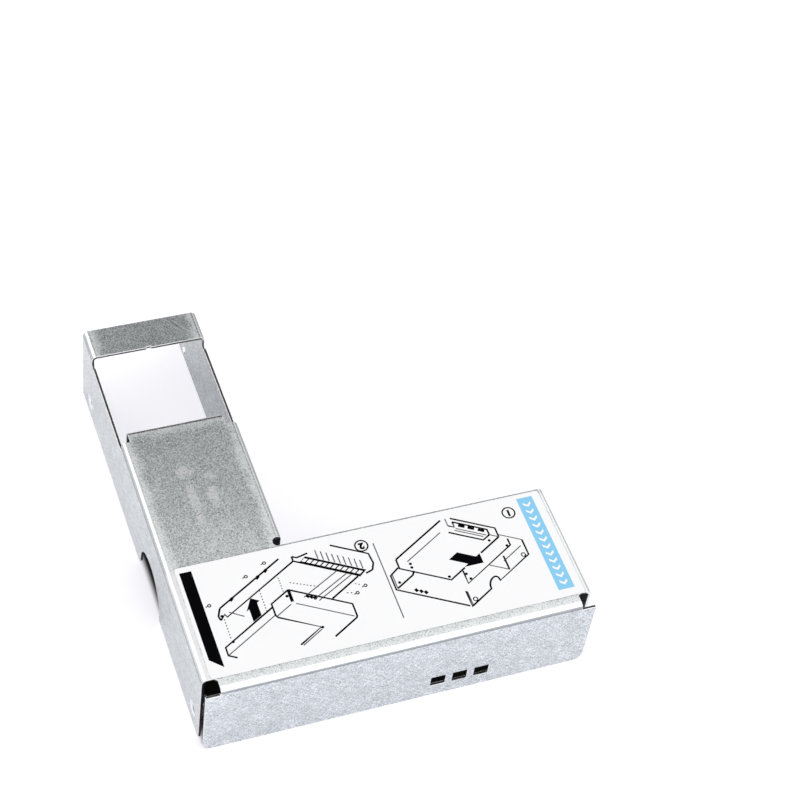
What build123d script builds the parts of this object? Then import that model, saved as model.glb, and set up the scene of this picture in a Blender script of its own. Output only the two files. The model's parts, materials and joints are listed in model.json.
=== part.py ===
from build123d import *
import os

# Drive bay adapter bracket: one folded steel sheet in the shape of an L, with three clinch standoffs
# and a paper label. It stands on the free edges of its walls, label side up. X runs along the front
# wall from the notch wall to the end flange, Y runs back along the narrow leg, and Z is up.

# Sheet
sheet = 0.8
bend_inside_radius = 0.7

# Overall form, to the outside of the sheet
overall_width = 101.6
wall_height = 25.0
front_leg_depth = 37.6
rear_end = 118.9
ear_end = 129.5

# Small drive that lies beside the narrow leg, within the overall width
drive_width = 69.85
drive_side_margin = 0.5

# Corners between the front wall and the two side walls
corner_relief_width = 3.8
corner_relief_depth = 3.8
corner_relief_radius = 0.9
corner_relief_drop = 0.4

# Front wall
front_wall_corner_radius = 2.8
vent_count = 3
vent_pitch = 5.84
vent_width = 3.84
vent_height = 3.6
vent_above_edge = 4.3
vent_from_flange = 26.8

# End flange and notch wall
flange_corner_radius = 0.8
notch_wall_chamfer = 0.4
cable_notch_radius = 9.3
cable_notch_centre = 49.0
cable_notch_straight = 2.2
cable_notch_rear_round = 2.0
cable_notch_front_round = 0.6

# Inner wall, with its ear behind the end tab
inner_relief_radius = 1.3
inner_relief_inset = 1.4
ear_root_rise = 9.3
ear_tip_rise = 14.3
ear_step = 0.5
ear_corner_radius = 0.9

# Window in the narrow leg, with the partition flap folded down out of it
partition_back = 82.7
partition_notch_wall_gap = 1.7
partition_inner_wall_gap = 2.35
partition_edge_lift = 0.3
partition_corner_radius = 1.0
partition_relief = 3.7
end_tab_width = 9.6
window_wall_cut = 3.0
tab_relief_radius = 0.7
nick_width = 1.2
nick_depth = 0.4

# Screw holes: three threaded standoffs for the bay, two clear holes for the drive
bay_hole_pitch = 101.6
bay_hole_from_front = 9.2
bay_hole_above_edge = 5.3
drive_hole_pitch = 76.6
drive_hole_behind_bay_hole = 14.5
drive_hole_above_edge = 3.0
drive_hole_diameter = 3.5

# Clinch standoff
standoff_diameter = 5.6
standoff_length = 3.2
shank_diameter = 4.6
thread_bore_diameter = 2.8
bore_chamfer = 0.5
mouth_land = 0.25
standoff_edge_chamfer = 0.3
clinch_clearance = 0.03

# Paper label
label_thickness = 0.1
label_flange_side_margin = 1.7
label_notch_side_margin = 2.4
label_front_margin = 3.8
label_rear_margin = 0.5
label_corner_radius = 0.8

# Sizes that follow
bend_outside_radius = bend_inside_radius + sheet
wall_top = wall_height - bend_outside_radius
leg_width = overall_width - drive_width - drive_side_margin
leg_middle = leg_width / 2
inner_wall_front = front_leg_depth + 2 * inner_relief_radius
tab_front = rear_end - end_tab_width
window_front = partition_back - partition_relief
window_edge = wall_height - window_wall_cut
partition_left = sheet + partition_notch_wall_gap
partition_right = leg_width - sheet - partition_inner_wall_gap
bay_hole_rear = bay_hole_from_front + bay_hole_pitch
drive_hole_rear = bay_hole_rear + drive_hole_behind_bay_hole
drive_hole_front = drive_hole_rear - drive_hole_pitch
shank_wall = (shank_diameter - thread_bore_diameter) / 2 - clinch_clearance
mouth_chamfer = min(bore_chamfer, shank_wall - mouth_land)
centre_of_part = Pos(-overall_width / 2, -ear_end / 2, 0)


def span(first, second, low, high):
    """Flat rectangle from its lower left corner to its upper right corner."""
    return Pos(first, low) * Rectangle(second - first, high - low, align=Align.MIN)


def wall_facing_x(outside, faces, outline):
    """Upright sheet drawn in Y and Z, with its outside at X = outside and facing +X or -X."""
    return extrude(Plane.YZ.offset(outside) * outline, -faces * sheet)


def wall_facing_y(outside, faces, outline):
    """Upright sheet drawn in X and Z, with its outside at Y = outside and facing +Y or -Y."""
    return extrude(Plane.XZ.offset(-outside) * outline, faces * sheet)


def fold_section(outside, faces):
    """Quarter ring of sheet between a wall's top and the web's edge."""
    side = Align.MIN if faces > 0 else Align.MAX
    ring = Circle(bend_outside_radius) - Circle(bend_inside_radius)
    quarter = ring & Rectangle(bend_outside_radius, bend_outside_radius, align=(side, Align.MIN))
    return Pos(outside - faces * bend_outside_radius, wall_top) * quarter


def fold_along_y(outside, faces, start, end):
    return extrude(Plane.XZ.offset(-start) * fold_section(outside, faces), start - end)


def fold_along_x(outside, faces, start, end):
    return extrude(Plane.YZ.offset(start) * fold_section(outside, faces), end - start)


def nearest_corner(outline, corner):
    return outline.vertices().sort_by_distance(Vector(*corner))[0]


def round_corners(outline, radius, *corners):
    """Round the outline's corners that are nearest to the given points."""
    return fillet([nearest_corner(outline, corner) for corner in corners], radius)


def make_web():
    inset = bend_outside_radius
    across_front = span(inset, overall_width - inset, inset, front_leg_depth)
    along_leg = span(inset, leg_width - inset, front_leg_depth, window_front)
    partition_root = span(partition_left, partition_right, window_front, partition_back - inset)
    end_tab = span(inset, leg_width - inset, tab_front, rear_end)
    nick = Pos(leg_middle, tab_front) * Rectangle(nick_width, 2 * nick_depth)
    flat = across_front + along_leg + partition_root + end_tab - nick
    for corner in (0, overall_width):
        relief = Pos(corner, 0) * Rectangle(2 * corner_relief_width, 2 * corner_relief_depth)
        flat -= fillet(relief.vertices(), corner_relief_radius)
    relief_centre = Pos(leg_width - inner_relief_inset, front_leg_depth + inner_relief_radius)
    flat -= relief_centre * Circle(inner_relief_radius)
    return extrude(Plane.XY.offset(wall_height - sheet) * flat, sheet)


def make_front_wall():
    outline = span(0, overall_width, 0, wall_top)
    outline = round_corners(outline, front_wall_corner_radius, (0, 0), (overall_width, 0))
    ear_top = wall_top - corner_relief_drop
    outline -= span(0, corner_relief_width, ear_top, wall_top)
    outline -= span(overall_width - corner_relief_width, overall_width, ear_top, wall_top)
    for index in range(vent_count):
        right = overall_width - vent_from_flange - index * vent_pitch
        outline -= span(right - vent_width, right, vent_above_edge, vent_above_edge + vent_height)
    wall = wall_facing_y(0, -1, outline)
    return wall + fold_along_x(0, -1, corner_relief_width, overall_width - corner_relief_width)


def make_end_flange():
    outline = span(corner_relief_depth, front_leg_depth, 0, wall_top)
    outline = round_corners(outline, flange_corner_radius, (front_leg_depth, 0))
    outline -= Pos(bay_hole_from_front, bay_hole_above_edge) * Circle(shank_diameter / 2)
    wall = wall_facing_x(overall_width, 1, outline)
    return wall + fold_along_y(overall_width, 1, corner_relief_depth, front_leg_depth)


def window_cut():
    """Opening of the window in a side wall, with a round relief beside the end tab's fold."""
    edge = span(window_front, tab_front, window_edge, wall_height)
    return edge + Pos(tab_front - tab_relief_radius, window_edge) * Circle(tab_relief_radius)


def cable_notch():
    """Round-bottomed notch that is open at the wall's free edge."""
    front = cable_notch_centre - cable_notch_radius
    rear = cable_notch_centre + cable_notch_radius
    sides = span(front, rear, 0, cable_notch_straight)
    return sides + Pos(cable_notch_centre, cable_notch_straight) * Circle(cable_notch_radius)


def make_notch_wall():
    outline = span(corner_relief_depth, rear_end, 0, wall_top) - window_cut() - cable_notch()
    outline = chamfer(nearest_corner(outline, (corner_relief_depth, 0)), notch_wall_chamfer)
    notch_front = (cable_notch_centre - cable_notch_radius, 0)
    notch_rear = (cable_notch_centre + cable_notch_radius, 0)
    outline = round_corners(outline, cable_notch_front_round, notch_front)
    outline = round_corners(outline, cable_notch_rear_round, notch_rear)
    for along in (bay_hole_from_front, bay_hole_rear):
        outline -= Pos(along, bay_hole_above_edge) * Circle(shank_diameter / 2)
    wall = wall_facing_x(0, -1, outline)
    wall += fold_along_y(0, -1, corner_relief_depth, window_front)
    return wall + fold_along_y(0, -1, tab_front, rear_end)


def make_inner_wall():
    ear_root = rear_end + ear_step
    ear_tip = wall_height - ear_tip_rise
    ear = Polygon(
        (ear_root, 0),
        (ear_end, 0),
        (ear_end, ear_tip),
        (ear_root, wall_height - ear_root_rise),
        align=None,
    )
    ear = round_corners(ear, ear_corner_radius, (ear_end, 0), (ear_end, ear_tip))
    outline = span(inner_wall_front, ear_root, 0, wall_top) + ear - window_cut()
    for along in (drive_hole_front, drive_hole_rear):
        outline -= Pos(along, drive_hole_above_edge) * Circle(drive_hole_diameter / 2)
    wall = wall_facing_x(leg_width, 1, outline)
    wall += fold_along_y(leg_width, 1, inner_wall_front, window_front)
    return wall + fold_along_y(leg_width, 1, tab_front, rear_end)


def make_partition():
    outline = span(partition_left, partition_right, partition_edge_lift, wall_top)
    free_corners = [(side, partition_edge_lift) for side in (partition_left, partition_right)]
    outline = round_corners(outline, partition_corner_radius, *free_corners)
    outline -= Pos(leg_middle, partition_edge_lift) * Rectangle(nick_width, 2 * nick_depth)
    wall = wall_facing_y(partition_back, 1, outline)
    return wall + fold_along_x(partition_back, 1, partition_left, partition_right)


def upright_cylinder(diameter, length):
    return Cylinder(diameter / 2, length, align=(Align.CENTER, Align.CENTER, Align.MIN))


def make_standoff():
    """Standoff along +X: a shank that fills the sheet from X = 0, then the barrel, with a through bore."""
    shank = upright_cylinder(shank_diameter - 2 * clinch_clearance, sheet)
    barrel = upright_cylinder(standoff_diameter, standoff_length)
    barrel = chamfer(barrel.edges().sort_by(Axis.Z)[-1], standoff_edge_chamfer)
    body = shank + Pos(0, 0, sheet) * barrel
    body -= upright_cylinder(thread_bore_diameter, sheet + standoff_length)
    rings = body.edges().filter_by(GeomType.CIRCLE)
    mouths = rings.filter_by(lambda ring: abs(2 * ring.radius - thread_bore_diameter) < clinch_clearance)
    return Rot(0, 90, 0) * chamfer(mouths, mouth_chamfer)


def make_standoffs():
    standoff = make_standoff()
    on_notch_wall = [
        Pos(0, along, bay_hole_above_edge) * standoff for along in (bay_hole_from_front, bay_hole_rear)
    ]
    on_flange = Pos(overall_width, bay_hole_from_front, bay_hole_above_edge) * Rot(0, 0, 180) * standoff
    return on_notch_wall + [on_flange]


def make_label():
    outline = span(
        label_notch_side_margin,
        overall_width - label_flange_side_margin,
        label_front_margin,
        front_leg_depth - label_rear_margin,
    )
    outline = fillet(outline.vertices(), label_corner_radius)
    return extrude(Plane.XY.offset(wall_height) * outline, label_thickness)


bracket = make_web() + make_front_wall() + make_end_flange()
bracket += make_notch_wall() + make_inner_wall() + make_partition()
standoffs = Compound(children=[centre_of_part * standoff for standoff in make_standoffs()])

os.makedirs("parts", exist_ok=True)
export_step(centre_of_part * bracket, "parts/folded_bracket.step")
export_step(standoffs, "parts/clinch_standoffs.step")
export_step(centre_of_part * make_label(), "parts/instruction_label.step")
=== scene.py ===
import json
import math

import bpy
from mathutils import Matrix, Vector

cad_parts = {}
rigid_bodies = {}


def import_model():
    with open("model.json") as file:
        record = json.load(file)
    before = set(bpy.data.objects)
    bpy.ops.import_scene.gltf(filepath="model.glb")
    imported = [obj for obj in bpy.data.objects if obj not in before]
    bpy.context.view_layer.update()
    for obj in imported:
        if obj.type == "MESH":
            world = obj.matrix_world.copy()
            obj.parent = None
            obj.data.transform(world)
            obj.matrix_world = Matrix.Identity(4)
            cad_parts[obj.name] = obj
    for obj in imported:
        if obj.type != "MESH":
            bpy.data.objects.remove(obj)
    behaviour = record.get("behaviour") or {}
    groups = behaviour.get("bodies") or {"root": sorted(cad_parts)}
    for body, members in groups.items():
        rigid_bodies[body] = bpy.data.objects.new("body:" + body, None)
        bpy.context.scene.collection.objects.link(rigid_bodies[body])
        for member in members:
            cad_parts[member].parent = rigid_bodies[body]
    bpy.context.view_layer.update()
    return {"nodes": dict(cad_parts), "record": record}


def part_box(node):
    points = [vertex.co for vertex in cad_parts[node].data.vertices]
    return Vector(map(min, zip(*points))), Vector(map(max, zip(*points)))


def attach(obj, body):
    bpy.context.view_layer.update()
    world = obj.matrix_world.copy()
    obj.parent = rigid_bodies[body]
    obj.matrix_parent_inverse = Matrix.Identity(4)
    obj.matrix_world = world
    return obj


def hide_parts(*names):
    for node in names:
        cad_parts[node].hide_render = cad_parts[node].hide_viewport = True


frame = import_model()

# The looks of a drive bay adapter bracket: folded galvanised sheet, three turned standoffs with a thread,
# and a printed paper label. Lengths are in metres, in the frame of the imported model.

MM = 0.001

# Places that come from the frame
sheet_low, sheet_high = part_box("folded_bracket")
label_low, label_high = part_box("instruction_label")
label_middle = (label_low + label_high) / 2
mounts = frame["record"]["mounts"]
bay_screws = [mount for mount in mounts if mount["kind"] == "threaded_hole"]
drive_screws = [mount for mount in mounts if mount["kind"] == "bolt_pattern"][0]
web_top = sheet_high.z

# Folded sheet
SHEET = 0.8 * MM
SHEET_TOLERANCE = 0.05 * MM
WELD = 0.001 * MM
FLAT_ANGLE = math.radians(0.5)
FLAT_SQUARENESS = math.cos(math.radians(2))
SMOOTH_ANGLE = math.radians(30)
EDGE_ROUND = 0.15 * MM
ROUND_STEPS = 2
FRONT_LEG_DEPTH = 37.6 * MM
LEG_WIDTH = 31.25 * MM
FOLD_RADIUS = 1.5 * MM
PARTITION_REAR = 82.7 * MM

# Zinc on the sheet: counts along a metre, and strengths first on the walls and then on the web
ZINC = (0.67, 0.71, 0.715)
ZINC_IOR = 1.5
LOW_ANGLE_TINT = (1.0, 0.99, 0.93, 1.0)
ZINC_ROUGHNESS = (0.28, 0.40)
ZINC_GRAINS = 3900.0
GRAIN_STRENGTHS = (0.54, 0.82)
ZINC_CLOUDS = 170.0
ZINC_CLOUD = 0.05
STREAKS = 2100.0
STREAK_STRENGTHS = (0.25, 0.04)
SMEARS = 230.0
SMEAR_STRENGTHS = (0.05, 0.02)
STREAK_TURNS = (math.radians(52), math.radians(-48))
STREAK_STRETCH = (1, 8, 1)
STREAK_RELIEF = 0.6
ZINC_BUMP = 0.25
SHEET_BUMP_DEPTH = 0.03 * MM

# How much lighter or darker each mark makes the zinc, how much rougher, and the grain left in a band. The
# bands and folds are partly painted highlight; the inside is painted shade, the folds' feet a painted dark
# reflection and the label's edge a painted shadow
BAND_AND_PAINTED_HIGHLIGHT = 0.40
MARK_SHADE = 0.62
SCRATCH_SHADE = 0.55
INSIDE_PAINTED_SHADE = -0.14
FOLD_BURNISH_AND_HIGHLIGHT = 0.20
FOLD_REFLECTION_DARKENING = -0.75
LABEL_SHADOW_DARKENING = -0.38
BAND_ROUGHNESS = 0.1
FOLD_ROUGHNESS = -0.16
BAND_GRAIN = 0.65

# Light bands on the web beside its folds, partly pressed and partly a painted highlight, and a painted dark
# reflection low on the folds
PRESSED_AND_HIGHLIGHT_BAND = 3.0 * MM
BAND_RAGS = 260.0
BAND_RAGGEDNESS = 3.0 * MM
LABEL_BAND_GAIN = 1.7
FRONT_BAND = 8 * MM
FRONT_BAND_STRENGTH = 0.9
# Painted dark reflection low on the folds: where it starts and is full, its foot, its rise and gain at the
# sides, and its left and front shares
FOLD_REFLECTION_START = 0.40
FOLD_REFLECTION_FULL = 0.58
FOLD_REFLECTION_FOOT = 0.08
SIDE_REFLECTION_RISE = 0.46
SIDE_REFLECTION_GAIN = 1.5
LEFT_REFLECTION_SHARE = 0.55
FRONT_REFLECTION_SHARE = 0.35

# Outlines of the handling marks and scratches: rags along a metre, and shares of their half sizes
MARK_RAGS = 900.0
MARK_RAGGEDNESS = 1.6
MARK_CORE = 0.3
MARK_EDGE = 1.5
SCRATCH_CORE = 0.4

# Cut face of the sheet
CUT_STEEL = (0.80, 0.79, 0.74)
CUT_RAGS = 700.0
CUT_RAGGEDNESS = 0.8
BREAK_START = 0.52
BREAK_FULL = 0.70
DRAWN_SHADE = 0.9
# The broken part is darkened partly for its dull steel and partly as painted shade
BROKEN_DULL_AND_SHADE = 0.10
BREAK_ROUGHNESS = 0.22
CUT_BUMP = 0.3

# Other metals, paper and inks
RIM_STEEL = (0.86, 0.87, 0.86)
PLATING = (0.95, 0.955, 0.96)
# The thread steel is painted dark partly as the shade in the bore
SHADED_THREAD_STEEL = (0.16, 0.155, 0.15)
PAPER_WHITE = (0.93, 0.93, 0.94)
INK_BLACK = (0.002, 0.002, 0.003)
INK_GREY = (0.10, 0.10, 0.11)
INK_BLUE = (0.255, 0.60, 0.86)
SMOOTH_ROUGHNESS = (0.14, 0.24)
THREAD_ROUGHNESS = (0.26, 0.40)
PAPER_ROUGHNESS = (0.42, 0.55)
INK_ROUGHNESS = (0.38, 0.5)
METAL_BUMP = 0.1
PAPER_BUMP = 0.08
SMOOTH_BUMP_DEPTH = 0.02 * MM
FIBRES = 3600.0
FIBRE_CLOUDS = 90.0

# Contrast of the grain and of the streaks, and the heights that most of the grain lies between
GRAIN_CONTRAST = 4.0
STREAK_CONTRAST = 6.0
GRAIN_HEIGHTS = (0.3, 0.7)

# Clinch standoff, along its own axis from the outside of the wall
BARREL_RADIUS = 2.8 * MM
BARREL_LENGTH = 3.2 * MM
BARREL_CHAMFER = 0.3 * MM
SHANK_RADIUS = 2.27 * MM
BORE_RADIUS = 1.4 * MM
MOUTH_CHAMFER = 0.5 * MM
THREAD_PITCH = 0.794 * MM
THREAD_DEPTH = 0.34 * MM
THREAD_OVERLAP = 0.12 * MM
THREAD_FLANK = 0.86
THREAD_ROOT = 0.2
TURNED_STEPS = 72
TURNED_ROUND = 0.05 * MM

# Label, and the middle of its printed page, which is read from the rear
INK_HEIGHT = 0.015 * MM
LABEL_CORNER = 0.8 * MM
CORNER_STEPS = 8
# Width of the painted shadow on the sheet along the label's edge
LABEL_SHADOW_WIDTH = 0.4 * MM
PAGE_MIDDLE = 48.85 * MM

# Print in millimetres of the page
HEAVY_LINE = 0.5
THIN_LINE = 0.3
STROKE_LINE = 0.85
RING_LINE = 0.4
DOT_RADIUS = 0.4
STEP_RING_RADIUS = 1.65
NUMERAL_SIZE = 2.5
NUMERAL_WEIGHT = 0.17
GUIDE_PITCH = 0.8
GUIDE_STROKE = 0.45
STEP_ONE = (-38.7, -11.7)
STEP_TWO = (1.5, -11.5)
DIVIDER = ((-1.6, -11.5), (-1.6, 12.0))
BAR = ((44.85, -15.0), (47.9, -15.0), (47.9, 11.3), (44.85, 14.1))
BLUE_BAND = ((-46.55, -15.3), (-42.2, -15.3), (-42.2, 14.4), (-46.55, 14.4))
BAND_MARKS = 12
FIRST_BAND_MARK = (-44.4, -12.6)
BAND_MARK_PITCH = 2.3
BAND_MARK_HALF_WIDTH = 1.05
BAND_MARK_HALF_HEIGHT = 0.45
BAND_MARK_THICKNESS = 0.75
ISOMETRIC = math.radians(30)

# Camera, floor and light
CAMERA_PLACE = (-143.55 * MM, -325.5 * MM, 458.56 * MM)
CAMERA_AIM = (34.28 * MM, 29.71 * MM, 0)
CAMERA_ROLL = math.radians(9.417)
SENSOR_WIDTH = 36.0
CAMERA_LENS = 96.73
CAMERA_CLIP = 10 * MM
WHITE = (1.0, 1.0, 1.0, 1.0)
FLOOR_SIZE = 6.0
FLOOR_ROUGHNESS = 0.9
FLOOR_GLOW = (0.97, 0.96, 1.08, 1.0)
ROOM_FLOOR = (0.90, 0.885, 0.96)
SEEN_FLOOR = (0.50, 0.50, 0.44)
SEEN_FLOOR_LIFT = 0.62
REFLECTED_FLOOR_LIFT = 0.12
# Tone of the floor under the web, painted dark as shade, and the softness of its edges
UNDER_WEB_PAINTED_SHADE = 0.06
COVER_SOFTNESS = 2 * MM
OPEN_REAR_SOFTNESS = 15 * MM
ROOM_LIGHT = 0.96
ROOM_DARK = 0.04
ROOM_DARK_SIDE = (0.2, 0.90, 0.40)
ROOM_DARK_REACH = 0.745
ROOM_DARK_CORE = 0.925

# Softboxes: name, place, aim, width and depth, all in metres, and radiance
SOFTBOXES = (
    ("overhead_softbox", (0.0, 0.03, 0.75), (0.0, 0.03, 0.0), 1.0, 0.8, 0.3),
    ("front_softbox", (0.25, -1.05, 0.78), (0, 0, 0), 1.0, 1.0, 0.5),
    ("left_softbox", (-0.56, 0.57, 0.60), (0, 0, 0), 0.4, 0.4, 1.2),
    ("right_softbox", (0.70, 0.60, 0.40), (0, 0, 0), 0.4, 0.4, 1.3),
)


def select_only(piece):
    bpy.ops.object.select_all(action="DESELECT")
    piece.select_set(True)
    bpy.context.view_layer.objects.active = piece


def new_object(name, data):
    piece = bpy.data.objects.new(name, data)
    bpy.context.scene.collection.objects.link(piece)
    return piece


def apply_modifier(piece, kind, **settings):
    select_only(piece)
    modifier = piece.modifiers.new(kind.lower(), kind)
    for key, value in settings.items():
        setattr(modifier, key, value)
    bpy.ops.object.modifier_apply(modifier=modifier.name)


def round_edges(piece, width, **settings):
    settings.update(width=width, segments=ROUND_STEPS, limit_method="ANGLE", angle_limit=SMOOTH_ANGLE)
    apply_modifier(piece, "BEVEL", **settings)


def edit_whole(piece):
    """Open a piece for editing with all of it selected."""
    select_only(piece)
    bpy.ops.object.mode_set(mode="EDIT")
    bpy.ops.mesh.select_all(action="SELECT")


def end_edit():
    bpy.ops.object.mode_set(mode="OBJECT")


def end_solid():
    """Turn all normals of the edited piece outwards and end its editing."""
    bpy.ops.mesh.select_all(action="SELECT")
    bpy.ops.mesh.normals_make_consistent(inside=False)
    end_edit()


def give_materials(piece, *materials):
    piece.data.materials.clear()
    for material in materials:
        piece.data.materials.append(material)


def seat(piece, node=None):
    """Give a finished piece its body and the CAD node that it stands for."""
    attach(piece, "root")
    if node:
        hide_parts(node)


# Node helpers


def add_node(tree, kind, inputs=None, **settings):
    node = tree.nodes.new(kind)
    for key, value in settings.items():
        setattr(node, key, value)
    for key, value in (inputs or {}).items():
        if isinstance(value, bpy.types.NodeSocket):
            tree.links.new(value, node.inputs[key])
        else:
            node.inputs[key].default_value = value
    return node


def calculate(tree, operation, first, second=0.0, third=0.0):
    inputs = {0: first, 1: second, 2: third}
    return add_node(tree, "ShaderNodeMath", inputs, operation=operation).outputs[0]


def remap(tree, value, from_low, from_high, to_low, to_high, smooth=True):
    node = add_node(
        tree,
        "ShaderNodeMapRange",
        {"Value": value, "From Min": from_low, "From Max": from_high, "To Min": to_low, "To Max": to_high},
        interpolation_type="SMOOTHSTEP" if smooth else "LINEAR",
    )
    return node.outputs["Result"]


def noise(tree, vector, scale, detail=2.0, roughness=0.5):
    inputs = {"Vector": vector, "Scale": scale, "Detail": detail, "Roughness": roughness}
    return add_node(tree, "ShaderNodeTexNoise", inputs).outputs["Fac"]


def placed(tree, vector, location=(0, 0, 0), turn=0.0, scale=(1, 1, 1)):
    inputs = {"Vector": vector, "Location": location, "Rotation": (0, 0, turn), "Scale": scale}
    return add_node(tree, "ShaderNodeMapping", inputs, vector_type="TEXTURE").outputs["Vector"]


def times(tree, first, second):
    return calculate(tree, "MULTIPLY", first, second)


def minus(tree, first, second):
    return calculate(tree, "SUBTRACT", first, second)


def swing(tree, value, reach):
    """A noise value moved to lie about zero and scaled."""
    return times(tree, minus(tree, value, 0.5), reach)


def between(tree, mask, low, high):
    """low where the mask is 0, high where it is 1."""
    return calculate(tree, "MULTIPLY_ADD", mask, high - low, low)


def object_place(tree):
    return add_node(tree, "ShaderNodeTexCoord").outputs["Object"]


def split_place(tree, place):
    return add_node(tree, "ShaderNodeSeparateXYZ", {"Vector": place}).outputs


def attribute(tree, name):
    return add_node(tree, "ShaderNodeAttribute", attribute_name=name).outputs["Fac"]


def reach_of(tree, vector):
    return add_node(tree, "ShaderNodeVectorMath", {0: vector}, operation="LENGTH").outputs["Value"]


# Sockets of a colour mix node
MIX_FACTOR = 0
MIX_FIRST = 6
MIX_SECOND = 7
MIX_RESULT = 2


def multiply_colour(tree, colour, tone):
    inputs = {MIX_FACTOR: 1.0, MIX_FIRST: (*colour, 1.0), MIX_SECOND: tone}
    node = add_node(tree, "ShaderNodeMix", inputs, data_type="RGBA", blend_type="MULTIPLY")
    return node.outputs[MIX_RESULT]


def choose_colour(tree, factor, first, second):
    inputs = {MIX_FACTOR: factor, MIX_FIRST: first, MIX_SECOND: second}
    return add_node(tree, "ShaderNodeMix", inputs, data_type="RGBA").outputs[MIX_RESULT]


def group_shell(name, numbers, results):
    """New node group with a place and named numbers; gives its tree, what it is given and its results."""
    tree = bpy.data.node_groups.new(name, "ShaderNodeTree")
    tree.interface.new_socket("Place", in_out="INPUT", socket_type="NodeSocketVector")
    for direction, sockets in (("INPUT", numbers), ("OUTPUT", results)):
        for socket in sockets:
            tree.interface.new_socket(socket, in_out=direction, socket_type="NodeSocketFloat")
    return tree, tree.nodes.new("NodeGroupInput").outputs, tree.nodes.new("NodeGroupOutput").inputs


def use_group(tree, group, **inputs):
    named = {key.replace("_", " "): value for key, value in inputs.items()}
    return add_node(tree, "ShaderNodeGroup", named, node_tree=group).outputs


def make_grain_group():
    """Fine grain of a metal or paper surface, with larger soft clouds in it."""
    numbers = ("Grains per metre", "Grain", "Clouds per metre", "Cloud")
    tree, given, out = group_shell("fine_grain", numbers, ("Tone", "Height"))
    fine = noise(tree, given["Place"], given["Grains per metre"], detail=1.5, roughness=0.7)
    clouds = noise(tree, given["Place"], given["Clouds per metre"], detail=3.0)
    fine_part = swing(tree, fine, given["Grain"])
    cloud_part = swing(tree, clouds, given["Cloud"])
    whole = times(tree, calculate(tree, "ADD", fine_part, cloud_part), GRAIN_CONTRAST)
    tree.links.new(calculate(tree, "ADD", whole, 1.0), out["Tone"])
    tree.links.new(fine, out["Height"])
    return tree


def make_hatch_group():
    """Crossed diagonal streaks that the rolls and wipers leave on a sheet."""
    numbers = ("Streaks per metre", "Strength")
    tree, given, out = group_shell("crossed_streaks", numbers, ("Tone", "Height"))
    layers = []
    for turn in STREAK_TURNS:
        along = placed(tree, given["Place"], turn=turn, scale=STREAK_STRETCH)
        layers.append(noise(tree, along, given["Streaks per metre"], detail=2.0, roughness=0.6))
    both = times(tree, calculate(tree, "ADD", layers[0], layers[1]), 0.5)
    whole = swing(tree, both, given["Strength"])
    tree.links.new(calculate(tree, "MULTIPLY_ADD", whole, STREAK_CONTRAST, 1.0), out["Tone"])
    tree.links.new(both, out["Height"])
    return tree


fine_grain = make_grain_group()
crossed_streaks = make_hatch_group()


# Materials


def new_material(name, **values):
    """Material with a Principled shader and its constants; gives material, tree and shader."""
    material = bpy.data.materials.new(name)
    material.use_nodes = True
    tree = material.node_tree
    shader = tree.nodes["Principled BSDF"]
    for key, value in values.items():
        shader.inputs[key.replace("_", " ")].default_value = value
    return material, tree, shader


def bump(tree, shader, height, strength, distance):
    node = add_node(tree, "ShaderNodeBump", {"Height": height, "Strength": strength, "Distance": distance})
    tree.links.new(node.outputs["Normal"], shader.inputs["Normal"])


# Soft light marks on the narrow leg: middle, half width, half length, all in millimetres, and strength
HANDLING_MARKS = (
    (-37.8, 1.2, 2.0, 2.0, 0.9),
    (-31.6, -1.4, 1.2, 0.9, 0.9),
    (-37.6, -7.5, 1.3, 5.5, 0.8),
    (-32.4, -7.8, 1.3, 3.2, 0.9),
    (-38.0, -15.5, 1.2, 4.0, 0.5),
    (-31.6, -19.0, 1.5, 1.2, 0.6),
    (-35.0, -24.0, 12.0, 9.0, 0.30),
)


def handling_marks(tree, place):
    """Soft ragged spots, lighter than the sheet."""
    ragged = swing(tree, noise(tree, place, MARK_RAGS), MARK_RAGGEDNESS)
    total = None
    for x, y, half_width, half_length, strength in HANDLING_MARKS:
        scale = (half_width * MM, half_length * MM, 1)
        middle = placed(tree, place, location=(x * MM, y * MM, web_top), scale=scale)
        reach = calculate(tree, "ADD", reach_of(tree, middle), ragged)
        mark = remap(tree, reach, MARK_CORE, MARK_EDGE, strength, 0.0)
        total = mark if total is None else calculate(tree, "MAXIMUM", total, mark)
    return total


def on_web(tree, height):
    """1 on the flat top of the web, 0 on the walls."""
    return remap(tree, height, web_top - FOLD_RADIUS, web_top - FOLD_RADIUS / 4, 0.0, 1.0)


def from_right_side(tree, split):
    """Distance from the end flange or, in the narrow leg, from the inner wall."""
    from_flange = minus(tree, sheet_high.x, split["X"])
    from_inner_wall = minus(tree, sheet_low.x + LEG_WIDTH, split["X"])
    in_front_leg = calculate(tree, "LESS_THAN", split["Y"], sheet_low.y + FRONT_LEG_DEPTH)
    return calculate(tree, "MINIMUM", from_flange, calculate(tree, "ADD", from_inner_wall, in_front_leg))


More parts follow.
